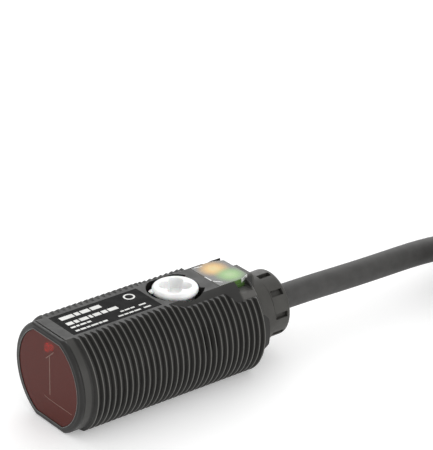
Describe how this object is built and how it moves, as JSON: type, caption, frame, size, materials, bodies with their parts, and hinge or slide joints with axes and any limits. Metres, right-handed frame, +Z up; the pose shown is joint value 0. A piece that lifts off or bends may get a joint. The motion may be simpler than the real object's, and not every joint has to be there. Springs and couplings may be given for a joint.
{
  "type": "photoelectric sensor",
  "caption": "Cylindrical threaded photoelectric sensor with flats, red front lens, sensitivity adjuster, indicator lamps, clamp cap and a coiled cable with stripped leads.",
  "frame": {"origin": "under the middle of the sensor, clamp cap included, on the surface that its lower flat rests on", "axes": "+Y along the barrel from the sensing face to the cable, +Z up out of the flat with the nameplate, +X across"},
  "size_m": [0.0606, 0.1313, 0.0184],
  "materials": {
    "case_plastic": "moulded, slightly satin",
    "label": "printed film",
    "bezel_plastic": "glossy",
    "red_filter": "dark red transparent plastic",
    "seal_rubber": "matt",
    "black_plastic": "matt",
    "clear_plastic": "clear",
    "shield_metal": "tinned",
    "circuit_board": "green solder mask",
    "chip_plastic": "moulded",
    "pin_brass": "plated",
    "can_metal": "satin",
    "trimmer_plastic": "moulded",
    "white_plastic": "satin",
    "orange_lamp": "translucent",
    "green_lamp": "translucent",
    "collar_plastic": "moulded",
    "wire_brown": "insulated",
    "wire_blue": "insulated",
    "wire_black": "insulated",
    "wire_pink": "insulated",
    "solder": "tinned",
    "cable_pvc": "matt",
    "tie_plastic": "flat strap",
    "copper": "bare copper strands"
  },
  "bodies": {
    "sensor": {"threaded_case": "case_plastic", "nameplate": "label", "front_bezel": "bezel_plastic", "front_lens": "red_filter", "lens_gasket": "seal_rubber", "optical_block": "black_plastic", "emitter_lens": "clear_plastic", "receiver_lens": "clear_plastic", "light_shield": "shield_metal", "optics_board": "circuit_board", "emitter_led": "clear_plastic", "receiver_ic": "chip_plastic", "main_board": "circuit_board", "board_chassis": "black_plastic", "board_link_pins": "pin_brass", "shield_can": "shield_metal", "control_ic": "chip_plastic", "output_transistors": "chip_plastic", "surge_diode": "chip_plastic", "capacitors": "can_metal", "resistors": "chip_plastic", "trimmer_body": "trimmer_plastic", "adjuster_seal": "seal_rubber", "indicator_window": "clear_plastic", "output_led_orange": "orange_lamp", "stability_led_green": "green_lamp", "rear_collar": "collar_plastic", "clamp_cap": "collar_plastic", "cable_seal": "seal_rubber", "strain_relief_ring": "black_plastic", "conductor_brown": "wire_brown", "conductor_blue": "wire_blue", "conductor_black": "wire_black", "conductor_pink": "wire_pink", "solder_joints": "solder", "cable": "cable_pvc", "cable_coil": "cable_pvc", "coil_tie": "tie_plastic", "cable_tail": "cable_pvc", "lead_brown": "wire_brown", "lead_blue": "wire_blue", "lead_black": "wire_black", "lead_pink": "wire_pink", "lead_tips": "copper"},
    "adjuster": {"adjuster_knob": "white_plastic", "trimmer_rotor": "white_plastic"}
  },
  "joints": [
    {"name": "sensitivity_adjuster", "type": "hinge", "parent": "sensor", "child": "adjuster", "pos_m": [0, 0.0025, 0.0075], "axis": [0, 0, -1], "range_deg": [-155, 105]}
  ]
}
